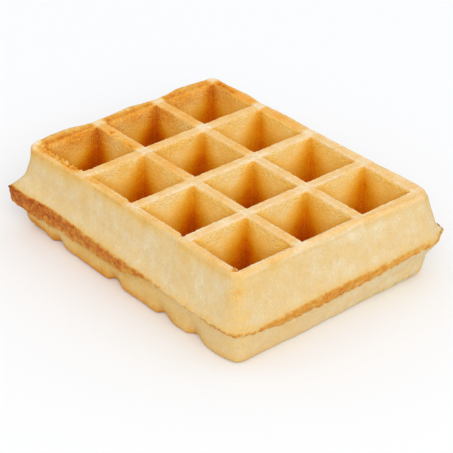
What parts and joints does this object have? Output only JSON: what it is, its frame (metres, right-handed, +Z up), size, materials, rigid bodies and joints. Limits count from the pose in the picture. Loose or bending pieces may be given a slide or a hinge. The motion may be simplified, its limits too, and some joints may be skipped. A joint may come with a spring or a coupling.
{
  "type": "belgian waffle",
  "caption": "Rectangular baked waffle with deep square pockets in its top, shallower ones below, drafted side walls and a browned seam line; plain, for desserts.",
  "frame": {"origin": "on the bottom face, under the middle of the pocket grid", "axes": "+X along the long side, +Y along the short side, +Z up from the bottom face to the rib tops"},
  "size_m": [0.1304, 0.1025, 0.034],
  "materials": {
    "waffle_crust": "dry baked batter crust, matte, cream to golden with browned pockets and seam"
  },
  "bodies": {
    "root": {"waffle": "waffle_crust"}
  },
  "joints": []
}
